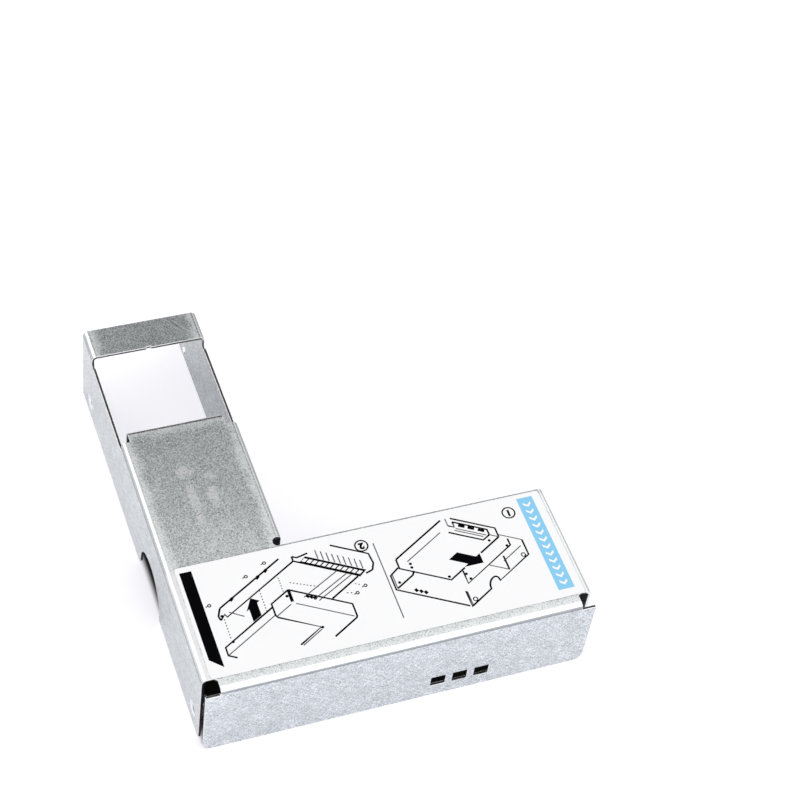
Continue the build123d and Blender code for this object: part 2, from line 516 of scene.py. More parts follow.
def pressed_bands_and_highlights(tree, place):
    """Light bands on the web beside its folds: partly where the press held the sheet, partly a painted
    highlight.
    """
    split = split_place(tree, place)
    ragged = swing(tree, noise(tree, place, BAND_RAGS), BAND_RAGGEDNESS)
    from_left = minus(tree, split["X"], sheet_low.x)
    from_front = minus(tree, split["Y"], sheet_low.y)
    from_partition = minus(tree, split["Y"], sheet_low.y + PARTITION_REAR)
    nearest = calculate(tree, "MINIMUM", from_left, from_right_side(tree, split))
    nearest = calculate(tree, "MINIMUM", nearest, calculate(tree, "ABSOLUTE", from_partition))
    edge = calculate(tree, "ADD", nearest, ragged)
    band = remap(tree, edge, FOLD_RADIUS, FOLD_RADIUS + PRESSED_AND_HIGHLIGHT_BAND, 1.0, 0.0)
    gain = remap(tree, from_front, FRONT_LEG_DEPTH - PRESSED_AND_HIGHLIGHT_BAND, FRONT_LEG_DEPTH, LABEL_BAND_GAIN, 1.0)
    band = times(tree, band, gain)
    ragged_front = calculate(tree, "ADD", from_front, ragged)
    front = remap(tree, ragged_front, FOLD_RADIUS, FOLD_RADIUS + FRONT_BAND, FRONT_BAND_STRENGTH, 0.0)
    return times(tree, calculate(tree, "MAXIMUM", band, front), on_web(tree, split["Z"]))


# Scratches on the end tab: middle in millimetres, turn in degrees, half length and half width, and strength
SCRATCHES = (
    (-25.0, 50.3, -56.0, 3.8, 0.30, 1.0),
    (-25.6, 50.0, -56.0, 3.4, 0.22, -0.7),
    (-26.2, 49.6, -56.0, 2.4, 0.24, 0.7),
    (-41.5, 48.4, 24.0, 2.6, 0.18, 0.5),
)


def scratches(tree, place):
    """Fine straight lines, lighter or darker than the sheet."""
    total = None
    for x, y, turn, half_length, half_width, strength in SCRATCHES:
        location = (x * MM, y * MM, web_top)
        scale = (half_length * MM, half_width * MM, 1)
        middle = placed(tree, place, location=location, turn=math.radians(turn), scale=scale)
        line = remap(tree, reach_of(tree, middle), SCRATCH_CORE, 1.0, strength, 0.0)
        total = line if total is None else calculate(tree, "ADD", total, line)
    return total


def painted_fold_reflection(tree, place):
    """Painted dark reflection low on each fold; it starts higher at the sides."""
    split = split_place(tree, place)
    down = remap(tree, split["Z"], web_top, web_top - FOLD_RADIUS, 0.0, 1.0, smooth=False)
    right = remap(tree, from_right_side(tree, split), FOLD_RADIUS, 2 * FOLD_RADIUS, 1.0, 0.0)
    from_left = minus(tree, split["X"], sheet_low.x)
    left = remap(tree, from_left, FOLD_RADIUS, 2 * FOLD_RADIUS, LEFT_REFLECTION_SHARE, 0.0)
    front = remap(tree, split["X"], 0.0, sheet_high.x, 0.0, FRONT_REFLECTION_SHARE)
    side = calculate(tree, "MAXIMUM", calculate(tree, "MAXIMUM", left, front), right)
    down = calculate(tree, "MULTIPLY_ADD", side, SIDE_REFLECTION_RISE, down)
    foot_low = web_top - (1 + FOLD_REFLECTION_FOOT) * FOLD_RADIUS
    foot_high = web_top - (1 - FOLD_REFLECTION_FOOT) * FOLD_RADIUS
    foot = remap(tree, split["Z"], foot_low, foot_high, 0.0, 1.0)
    dark_reflection = times(tree, remap(tree, down, FOLD_REFLECTION_START, FOLD_REFLECTION_FULL, 0.0, 1.0), foot)
    return times(tree, dark_reflection, remap(tree, right, 0.0, 1.0, 1.0, SIDE_REFLECTION_GAIN))


def painted_label_shadow(tree, place):
    """Painted shadow: a fine dark line on the sheet along the label's edge."""
    split = split_place(tree, place)
    half = (label_high - label_low) / 2
    beyond = []
    for axis, centre, reach in (("X", label_middle.x, half.x), ("Y", label_middle.y, half.y)):
        away = calculate(tree, "ABSOLUTE", minus(tree, split[axis], centre))
        beyond.append(minus(tree, away, reach))
    edge = calculate(tree, "ABSOLUTE", calculate(tree, "MAXIMUM", beyond[0], beyond[1]))
    return remap(tree, edge, LABEL_SHADOW_WIDTH / 3, LABEL_SHADOW_WIDTH, 1.0, 0.0)


def grain_of(grains, grain, clouds, cloud):
    """Values of the fine grain: grains and clouds along a metre, each with its strength."""
    return {"Grains_per_metre": grains, "Grain": grain, "Clouds_per_metre": clouds, "Cloud": cloud}


def make_galvanised():
    """Galvanised sheet: grain, crossed streaks, marks and scratches; light bands beside the folds and
    lighter folds, partly painted highlight; painted shade inside, a painted shadow along the label's edge,
    and a painted dark reflection low on the folds.
    """
    material, tree, shader = new_material(
        "galvanised_sheet", Metallic=1.0, IOR=ZINC_IOR, Specular_Tint=LOW_ANGLE_TINT
    )
    place = object_place(tree)
    rolled = add_node(tree, "ShaderNodeUVMap", uv_map="rolled_sheet").outputs["UV"]
    inside = attribute(tree, "depth")
    outside = minus(tree, 1.0, inside)
    web = times(tree, on_web(tree, split_place(tree, place)["Z"]), outside)
    fold = attribute(tree, "fold")
    flat = minus(tree, 1.0, fold)
    bands_and_highlights = pressed_bands_and_highlights(tree, place)
    kept_grain = times(tree, flat, between(tree, bands_and_highlights, 1.0, BAND_GRAIN))
    grain_strength = times(tree, between(tree, web, *GRAIN_STRENGTHS), kept_grain)
    zinc_grain = grain_of(ZINC_GRAINS, grain_strength, ZINC_CLOUDS, ZINC_CLOUD)
    grain = use_group(tree, fine_grain, Place=place, **zinc_grain)
    rolled_marks = []
    for count, strengths in ((STREAKS, STREAK_STRENGTHS), (SMEARS, SMEAR_STRENGTHS)):
        strength = between(tree, web, *strengths)
        rolled_marks.append(
            use_group(tree, crossed_streaks, Place=rolled, Streaks_per_metre=count, Strength=strength)
        )
    streaks, smears = rolled_marks
    light = 1.0
    # Bands and folds are lightened partly as painted highlight; the inside is darkened as painted shade,
    # the folds' feet as painted dark reflection and the label's edge as painted shadow
    for mask, shade in (
        (bands_and_highlights, BAND_AND_PAINTED_HIGHLIGHT),
        (times(tree, handling_marks(tree, place), web), MARK_SHADE),
        (times(tree, scratches(tree, place), web), SCRATCH_SHADE),
        (inside, INSIDE_PAINTED_SHADE),
        (fold, FOLD_BURNISH_AND_HIGHLIGHT),
        (times(tree, painted_fold_reflection(tree, place), fold), FOLD_REFLECTION_DARKENING),
        (times(tree, painted_label_shadow(tree, place), outside), LABEL_SHADOW_DARKENING),
    ):
        light = calculate(tree, "MULTIPLY_ADD", mask, shade, light)
    rolls = times(tree, streaks["Tone"], smears["Tone"])
    tone = times(tree, times(tree, grain["Tone"], rolls), light)
    tree.links.new(multiply_colour(tree, ZINC, tone), shader.inputs["Base Color"])
    rough = remap(tree, grain["Height"], *GRAIN_HEIGHTS, *ZINC_ROUGHNESS, smooth=False)
    rough = calculate(tree, "MULTIPLY_ADD", bands_and_highlights, BAND_ROUGHNESS, rough)
    rough = calculate(tree, "MULTIPLY_ADD", fold, FOLD_ROUGHNESS, rough)
    tree.links.new(rough, shader.inputs["Roughness"])
    relief = calculate(tree, "MULTIPLY_ADD", streaks["Height"], STREAK_RELIEF, grain["Height"])
    bump(tree, shader, relief, times(tree, flat, ZINC_BUMP), SHEET_BUMP_DEPTH)
    return material


CUT_GRAIN = grain_of(5200.0, 0.16, 400.0, 0.12)
RIM_GRAIN = grain_of(2600.0, 0.05, 300.0, 0.10)
PLATING_GRAIN = grain_of(4200.0, 0.05, 600.0, 0.08)
THREAD_GRAIN = grain_of(4200.0, 0.10, 700.0, 0.10)


def make_sheared_edge():
    """Cut face of the sheet: a smooth band that the punch drew, then a grainy break to the burr, painted
    dark partly for its dull steel and partly as shade.
    """
    material, tree, shader = new_material("sheared_edge", Metallic=1.0)
    place = object_place(tree)
    grain = use_group(tree, fine_grain, Place=place, **CUT_GRAIN)
    depth = attribute(tree, "depth")
    ragged = calculate(tree, "MULTIPLY_ADD", noise(tree, place, CUT_RAGS), CUT_RAGGEDNESS, depth)
    broken = remap(tree, ragged, BREAK_START, BREAK_FULL, 0.0, 1.0)
    tone = times(tree, grain["Tone"], between(tree, broken, DRAWN_SHADE, BROKEN_DULL_AND_SHADE))
    tree.links.new(multiply_colour(tree, CUT_STEEL, tone), shader.inputs["Base Color"])
    rough = remap(tree, grain["Height"], *GRAIN_HEIGHTS, *SMOOTH_ROUGHNESS, smooth=False)
    rough = calculate(tree, "MULTIPLY_ADD", broken, BREAK_ROUGHNESS, rough)
    tree.links.new(rough, shader.inputs["Roughness"])
    bump(tree, shader, grain["Height"], CUT_BUMP, SHEET_BUMP_DEPTH)
    return material


def make_grained(name, colour, roughness, grain, relief, **constants):
    """Material whose fine grain shows in its tone, its gloss and its surface."""
    material, tree, shader = new_material(name, **constants)
    made = use_group(tree, fine_grain, Place=object_place(tree), **grain)
    tree.links.new(multiply_colour(tree, colour, made["Tone"]), shader.inputs["Base Color"])
    rough = remap(tree, made["Height"], *GRAIN_HEIGHTS, *roughness, smooth=False)
    tree.links.new(rough, shader.inputs["Roughness"])
    bump(tree, shader, made["Height"], relief, SMOOTH_BUMP_DEPTH)
    return material


def make_smooth_metal(name, colour, roughness, grain):
    return make_grained(name, colour, roughness, grain, METAL_BUMP, Metallic=1.0)


def make_paper(name, colour, roughness, fibre, gloss):
    """Coated paper or the ink on it, with soft fibres for its grain."""
    grain = grain_of(FIBRES, fibre, FIBRE_CLOUDS, fibre)
    return make_grained(name, colour, roughness, grain, PAPER_BUMP, Specular_IOR_Level=gloss)


def make_rolled_rim():
    """Rounded rim beside a cut, which the punch has drawn smooth and bright."""
    return make_smooth_metal("rolled_rim", RIM_STEEL, SMOOTH_ROUGHNESS, RIM_GRAIN)


def make_plated():
    """Bright zinc plating on a turned piece."""
    return make_smooth_metal("bright_plating", PLATING, SMOOTH_ROUGHNESS, PLATING_GRAIN)


def make_shaded_thread_steel():
    """Cut thread in the standoff's bore: oily steel, painted dark partly as the shade in the bore."""
    return make_smooth_metal("shaded_thread_steel", SHADED_THREAD_STEEL, THREAD_ROUGHNESS, THREAD_GRAIN)


galvanised = make_galvanised()
sheared_edge = make_sheared_edge()
rolled_rim = make_rolled_rim()
plated = make_plated()
shaded_thread_steel = make_shaded_thread_steel()
label_paper = make_paper("label_paper", PAPER_WHITE, PAPER_ROUGHNESS, fibre=0.006, gloss=0.4)
black_ink = make_paper("black_ink", INK_BLACK, INK_ROUGHNESS, fibre=0.05, gloss=0.01)
grey_ink = make_paper("grey_ink", INK_GREY, INK_ROUGHNESS, fibre=0.05, gloss=0.12)
blue_ink = make_paper("blue_ink", INK_BLUE, INK_ROUGHNESS, fibre=0.012, gloss=0.2)


# Folded sheet


# The sheet's materials in their order on the piece
SHEET_FACE = 0
CUT_FACE = 1
BRIGHT_FACE = 2


def mark_cut_faces(sheet):
    """Faces with the sheet's thickness behind them are sheet; the others are where it was cut."""
    for face in sheet.data.polygons:
        start = face.center - face.normal * WELD
        hit, place, _, _ = sheet.ray_cast(start, -face.normal)
        behind = (place - face.center).length if hit else 0.0
        face.material_index = SHEET_FACE if abs(behind - SHEET) < SHEET_TOLERANCE else CUT_FACE


def mark_bright_cuts(sheet):
    """Cuts that get the bright rim: the two drive holes, which the punch drew smooth right through, and the
    flange's front end, where the bright rim is a painted highlight.
    """
    middle = Vector(drive_screws["pos_m"])
    half_pitch = drive_screws["dims"]["spacing_x_mm"] * MM / 2
    reach = drive_screws["dims"]["hole_r_mm"] * MM + SHEET_TOLERANCE
    holes = [Vector((middle.y + side * half_pitch, middle.z)) for side in (-1, 1)]
    for face in sheet.data.polygons:
        beside = abs(face.center.x - middle.x) < SHEET
        in_hole = beside and min((face.center.yz - hole).length for hole in holes) < reach
        at_flange = face.center.x > sheet_high.x - 2 * SHEET and face.normal.y < -FLAT_SQUARENESS
        if face.material_index == CUT_FACE and (in_hole or at_flange):
            face.material_index = BRIGHT_FACE


def mark_depth(sheet):
    """Vertex attribute that is 0 on the outer side of the sheet and 1 on its inner side."""
    top = max(sheet.data.polygons, key=lambda face: face.center.z + face.normal.z).index
    bpy.ops.object.mode_set(mode="EDIT")
    bpy.ops.mesh.select_mode(type="FACE")
    bpy.ops.mesh.select_all(action="DESELECT")
    end_edit()
    sheet.data.polygons[top].select = True
    bpy.ops.object.mode_set(mode="EDIT")
    bpy.ops.mesh.select_linked(delimit={"MATERIAL"})
    end_edit()
    depth = sheet.data.attributes.new("depth", "FLOAT", "POINT")
    for vertex in sheet.data.vertices:
        depth.data[vertex.index].value = 0.0 if vertex.select else 1.0


def lay_rolled_map(sheet):
    """UV map in metres that lies flat on every wall, for what the rolls left on the sheet."""
    layer = sheet.data.uv_layers.new(name="rolled_sheet")
    for face in sheet.data.polygons:
        facing = max(range(3), key=lambda axis: abs(face.normal[axis]))
        across, along = [axis for axis in range(3) if axis != facing]
        for loop in face.loop_indices:
            place = sheet.data.vertices[sheet.data.loops[loop].vertex_index].co
            layer.data[loop].uv = (place[across], place[along])


def mark_folds(sheet):
    """Face attribute that is 1 on the folds and 0 on the flat walls; the press burnished the folds, and
    their lighter tone is partly a painted highlight.
    """
    fold = sheet.data.attributes.new("fold", "FLOAT", "FACE")
    for face in sheet.data.polygons:
        squareness = max(abs(value) for value in face.normal)
        bent = face.material_index == SHEET_FACE and squareness < FLAT_SQUARENESS
        fold.data[face.index].value = 1.0 if bent else 0.0


def make_folded_sheet():
    """The folded sheet with its edges rounded a little, as shearing leaves them."""
    sheet = new_object("folded_sheet", frame["nodes"]["folded_bracket"].data.copy())
    give_materials(sheet, galvanised, sheared_edge, rolled_rim)
    select_only(sheet)
    bpy.ops.mesh.customdata_custom_splitnormals_clear()
    edit_whole(sheet)
    bpy.ops.mesh.remove_doubles(threshold=WELD)
    end_edit()
    mark_cut_faces(sheet)
    mark_bright_cuts(sheet)
    edit_whole(sheet)
    bpy.ops.mesh.dissolve_limited(angle_limit=FLAT_ANGLE, delimit={"MATERIAL"})
    end_edit()
    mark_depth(sheet)
    bpy.ops.object.shade_smooth_by_angle(angle=SMOOTH_ANGLE)
    round_edges(sheet, EDGE_ROUND, use_clamp_overlap=False, harden_normals=True, material=BRIGHT_FACE)
    for vertex in sheet.data.vertices:
        limits = zip(vertex.co, sheet_low, sheet_high)
        vertex.co = [min(max(value, low), high) for value, low, high in limits]
    lay_rolled_map(sheet)
    mark_folds(sheet)
    seat(sheet, "folded_bracket")


# Clinch standoffs


# The standoff's materials in their order on the piece
PLATED_FACE = 0
THREAD_FACE = 1


def turn_piece(name, profile):
    """Turned ring about Z: a circle extruded from point to point round a closed profile."""
    radius, height = profile[0]
    bpy.ops.object.select_all(action="DESELECT")
    bpy.ops.mesh.primitive_circle_add(vertices=TURNED_STEPS, radius=radius, location=(0, 0, height))
    piece = bpy.context.object
    piece.name = name
    bpy.ops.object.transform_apply(location=True)
    bpy.ops.object.mode_set(mode="EDIT")
    for next_radius, next_height in profile[1:] + profile[:1]:
        bpy.ops.mesh.extrude_edges_move(TRANSFORM_OT_translate={"value": (0, 0, next_height - height)})
        widen = next_radius / radius
        bpy.ops.transform.resize(value=(widen, widen, 1), center_override=(0, 0, 0))
        radius, height = next_radius, next_height
    bpy.ops.mesh.select_all(action="SELECT")
    bpy.ops.mesh.remove_doubles(threshold=WELD)
    end_solid()
    return piece


def make_thread_cutter(length):
    """Closed helical ridge that cuts the thread: a tapered profile carried round and along by a screw."""
    depth = THREAD_DEPTH + THREAD_OVERLAP
    turns = math.ceil(length / THREAD_PITCH) + 1
    bpy.ops.object.select_all(action="DESELECT")
    bpy.ops.mesh.primitive_plane_add(size=1, rotation=(math.pi / 2, 0, 0))
    cutter = bpy.context.object
    bpy.ops.object.transform_apply(rotation=True)
    edit_whole(cutter)
    bpy.ops.mesh.delete(type="ONLY_FACE")
    end_edit()
    for corner in cutter.data.vertices:
        outside = corner.co.x > 0
        half_height = THREAD_PITCH * (THREAD_ROOT if outside else THREAD_FLANK) / 2
        corner.co.z = math.copysign(half_height, corner.co.z)
        corner.co.x = BORE_RADIUS - THREAD_OVERLAP + (depth if outside else 0)
    apply_modifier(
        cutter,
        "SCREW",
        axis="Z",
        angle=2 * math.pi,
        screw_offset=THREAD_PITCH,
        iterations=turns,
        steps=TURNED_STEPS,
        render_steps=TURNED_STEPS,
        use_merge_vertices=False,
    )
    edit_whole(cutter)
    bpy.ops.mesh.fill_holes(sides=0)
    end_solid()
    cutter.data.transform(Matrix.Translation((0, 0, -THREAD_PITCH)))
    return cutter


def make_standoff():
    """Standoff along +Z from the outside of the wall: shank in the sheet, barrel inside, threaded bore."""
    length = SHEET + BARREL_LENGTH
    mouth = BORE_RADIUS + MOUTH_CHAMFER
    half_chamfer = MOUTH_CHAMFER / 2
    half_mouth = BORE_RADIUS + half_chamfer
    profile = [
        (BORE_RADIUS, MOUTH_CHAMFER),
        (half_mouth, half_chamfer),
        (mouth, 0),
        (SHANK_RADIUS, 0),
        (SHANK_RADIUS, SHEET),
        (BARREL_RADIUS, SHEET),
        (BARREL_RADIUS, length - BARREL_CHAMFER),
        (BARREL_RADIUS - BARREL_CHAMFER, length),
        (mouth, length),
        (half_mouth, length - half_chamfer),
        (BORE_RADIUS, length - MOUTH_CHAMFER),
    ]
    standoff = turn_piece("standoff", profile)
    round_edges(standoff, TURNED_ROUND)
    cutter = make_thread_cutter(length)
    apply_modifier(standoff, "BOOLEAN", operation="DIFFERENCE", object=cutter, solver="EXACT")
    bpy.data.objects.remove(cutter)
    edit_whole(standoff)
    bpy.ops.mesh.dissolve_degenerate(threshold=WELD)
    end_edit()
    bpy.ops.object.shade_smooth_by_angle(angle=SMOOTH_ANGLE)
    give_materials(standoff, plated, shaded_thread_steel)
    for face in standoff.data.polygons:
        near_axis = face.center.xy.length < BORE_RADIUS + THREAD_DEPTH
        in_bore = near_axis and face.normal.xy.dot(face.center.xy) < 0
        in_mouth = min(face.center.z, length - face.center.z) < MOUTH_CHAMFER + THREAD_DEPTH
        face.material_index = THREAD_FACE if in_bore and not in_mouth else PLATED_FACE
    return standoff


def make_standoffs():
    """One standoff for each screw of the bay, its shank flush with the outside of its wall."""
    pattern = make_standoff()
    for mount in bay_screws:
        outward = Vector(mount["axis"])
        middle = Vector(mount["pos_m"])
        outside = sheet_high.x if outward.x > 0 else sheet_low.x
        inward_turn = (-outward).to_track_quat("Z", "Y").to_matrix().to_4x4()
        standoff = new_object(mount["name"].replace("bay_screw", "standoff"), pattern.data.copy())
        standoff.data.transform(Matrix.Translation((outside, middle.y, middle.z)) @ inward_turn)
        seat(standoff, "clinch_standoffs")
    bpy.data.objects.remove(pattern)


# Label


def make_label_sheet():
    """Paper under the print, a print's height thinner than the whole label."""
    size = label_high - label_low
    bpy.ops.object.select_all(action="DESELECT")
    bpy.ops.mesh.primitive_plane_add(size=1, location=(label_middle.x, label_middle.y, label_low.z))
    label = bpy.context.object
    label.name = "label_sheet"
    label.scale = (size.x, size.y, 1)
    bpy.ops.object.transform_apply(location=True, scale=True)
    edit_whole(label)
    bpy.ops.mesh.bevel(offset=LABEL_CORNER, segments=CORNER_STEPS, affect="VERTICES")
    bpy.ops.mesh.select_all(action="SELECT")
    bpy.ops.mesh.extrude_region_move(TRANSFORM_OT_translate={"value": (0, 0, size.z - INK_HEIGHT)})
    end_solid()
    give_materials(label, label_paper)
    seat(label, "instruction_label")


def page_to_part():
    """Page millimetres, read from the rear, to the label's face in the part."""
    middle = (label_low.x + PAGE_MIDDLE, label_middle.y, label_high.z - INK_HEIGHT)
    place = Matrix.Translation(middle)
    return place @ Matrix.Rotation(math.pi, 4, "Z") @ Matrix.Diagonal((MM, MM, MM, 1))


def print_on_page(drawn, name, material, flatten=1.0, middle=(0.0, 0.0)):
    """Make a curve or a numeral a mesh, flatten it to the ink's height and lay it on the label."""
    select_only(drawn)
    bpy.ops.object.convert(target="MESH")
    ink = bpy.context.object
    ink.name = name
    ink.data.transform(Matrix.Translation((*middle, 0)) @ Matrix.Diagonal((1, 1, flatten, 1)))
    ink.data.transform(page_to_part())
    give_materials(ink, material)
    seat(ink)


def ink_curve(name, outlines, closed, dimensions):
    curve = bpy.data.curves.new(name, "CURVE")
    curve.dimensions = dimensions
    for outline in outlines:
        spline = curve.splines.new("POLY")
        spline.points.add(len(outline) - 1)
        for point, (u, v) in zip(spline.points, outline):
            point.co = (u, v, 0, 1)
        spline.use_cyclic_u = closed
    return curve


def print_lines(name, outlines, width, material, closed=False):
    """Lines as flat ribbons of ink; a closed line is a ring."""
    curve = ink_curve(name, outlines, closed, "3D")
    curve.bevel_depth = width / 2
    curve.bevel_resolution = 0
    curve.use_fill_caps = True
    print_on_page(new_object(name, curve), name, material, INK_HEIGHT / MM / (width / 2))


def print_fields(name, outlines, material):
    """Filled fields of ink; an outline inside another one is a hole in it."""
    curve = ink_curve(name, outlines, True, "2D")
    curve.fill_mode = "BOTH"
    curve.extrude = INK_HEIGHT / MM
    print_on_page(new_object(name, curve), name, material)


def isometric(origin, scale):
    """Gives a function that draws a point of a thing: a runs up to the right, b down to the right."""

    def draw(a, b, h=0.0):
        u = origin[0] + scale * (a + b) * math.cos(ISOMETRIC)
        v = origin[1] + scale * ((a - b) * math.sin(ISOMETRIC) + h)
        return (u, v)

    return draw


def circle(middle, radius, steps=40):
    turns = [2 * math.pi * step / steps for step in range(steps)]
    return [(middle[0] + radius * math.cos(t), middle[1] + radius * math.sin(t)) for t in turns]


# The bracket in the figures, in millimetres: its length, width, front depth, narrow width and height
FIGURE_BRACKET = (118.9, 101.6, 37.6, 31.25, 25.0)

# A small drive in the same millimetres, in which the points of the figures are given too
DRIVE_LONG = 100.0
DRIVE_WIDE = 69.85
DRIVE_HIGH = 15.0

# Places of the figures and of their arrows' tips on the page, and their scales and rings
FIGURE_ONE_PLACE = (-38.9, -2.8)
FIGURE_ONE_SCALE = 0.19
FIGURE_ONE_ARROW = (-26.8, 1.45)
FIGURE_ONE_RING = 0.55
FIGURE_TWO_PLACE = (9.3, 4.7)
FIGURE_TWO_TRAY = (5.0, -3.0)
FIGURE_TWO_SCALE = 0.16
FIGURE_TWO_ARROW = (33.1, -3.4)
FIGURE_TWO_RING = 0.38

# Arrows: length and half width of the head, half width of the shaft, and whole length
FIGURE_ONE_ARROW_SIZES = (3.0, 3.0, 1.6, 7.9)
FIGURE_TWO_ARROW_SIZES = (2.4, 2.3, 1.4, 6.2)


def figure_one():
    """A drive slid sideways into the open bracket."""
    at = isometric(FIGURE_ONE_PLACE, FIGURE_ONE_SCALE)
    leg, width, depth, narrow, high = FIGURE_BRACKET
    notch_middle, notch_radius, notch_floor = leg - 49.0, 9.3, high - 2.2
    notch = []
    for step in range(9):
        turn = math.pi * step / 8
        along = notch_middle - notch_radius * math.cos(turn)
        notch.append(at(along, 0, notch_floor - notch_radius * math.sin(turn)))
    notch = [at(notch_middle - notch_radius, 0, high)] + notch + [at(notch_middle + notch_radius, 0, high)]
    partition, inner, ear = 36.2, 78.7, -10.0
    side, top = 44.0, DRIVE_HIGH
    near, far, outer = -11.0, DRIVE_LONG - 11.0, side + DRIVE_WIDE
    plug_first, plug_last, plug_back, plug_low = side + 13, outer - 9, near + 12.5, top - 9
    heavy = [
        [at(0, 0), at(0, 0, high)] + notch + [at(leg - 2, 0, high), at(leg, 0, high), at(leg, 0, 0)],
        [at(leg, 3, high), at(leg, width, high), at(leg, width, 2), at(leg - 16, width, 0)],
        [at(leg - 3, width, high), at(leg - depth + 4, width, high), at(leg - depth, width, high - 4)],
        [at(ear, narrow, 14), at(ear, narrow, high), at(inner, narrow, high), at(inner, narrow, 4)],
        [at(partition, 3, 2), at(partition, 3, high)],
        [at(near, side, top), at(near + 38, side, top)],
        [at(near + 72, side, top), at(far, side, top), at(far, outer, top), at(far, outer, 0)],
        [at(near, side, top), at(near, side, 0), at(near, outer - 8, 0)],
        [at(far, outer, 0), at(near + 8, outer, 0)],
        [at(near, plug_first, top), at(plug_back, plug_first, top), at(plug_back, plug_last, top)],
        [at(near, plug_first, top), at(near, plug_first, plug_low), at(near, plug_last, plug_low)],
        [at(near, plug_last, plug_low), at(near, plug_last, top), at(near, outer, top)],
    ]
    thin = [
        [at(leg - 3, width, high), at(leg - 3, width, 0)],
        [at(leg - 2, 0, high), at(leg - 2, 0, 2)],
        [at(0, 0), at(0, narrow)],
        [at(0, 6, 12), at(partition, 6, 12)],
        [at(partition, 3, high), at(partition, narrow, high)],
        [at(far - 16, outer, top), at(near + 16, outer, top)],
        [at(near, side, top), at(near, plug_first, top)],
        [at(near, outer, top), at(near, outer, 3)],
        [at(near + 6, plug_first + 4, top), at(near + 6, plug_last - 4, top)],
        [at(near + 2, plug_first + 3, top), at(near + 2, plug_last - 3, top)],
    ]
    arrow_tip = isometric(FIGURE_ONE_ARROW, 1.0)
    arrow = [arrow_tip(a, b) for a, b in flat_arrow(*FIGURE_ONE_ARROW_SIZES)]
    strokes = [[at(leg, b, 19.5), at(leg, b + 2.5, 16)] for b in (58, 64.5, 71)]
    for b in (5, 19, 32):
        strokes.append([at(near, plug_first + b, top - 5), at(near, plug_first + b + 9, top - 5)])
    rings = [circle(at(a, 0, 19.7), FIGURE_ONE_RING, steps=14) for a in (109.7, 8.1)]
    dots = [at(72, narrow, 22), at(-4.6, narrow, 22), at(109.7, width, 19.7), at(84, 50, top)]
    dots += [at(87, 20, 0), at(0, 50, top), at(76, outer - 6, top), at(82, outer - 12, top)]
    return dict(heavy=heavy, thin=thin, fields=[arrow], strokes=strokes, rings=rings, dots=dots)


def flat_arrow(head_length, head_half, shaft_half, length):
    """Arrow that points to smaller second coordinates, from its tip at the origin."""
    side = [(head_half, head_length), (shaft_half, head_length), (shaft_half, length)]
    return [(0, 0)] + side + [(-across, along) for across, along in reversed(side)]


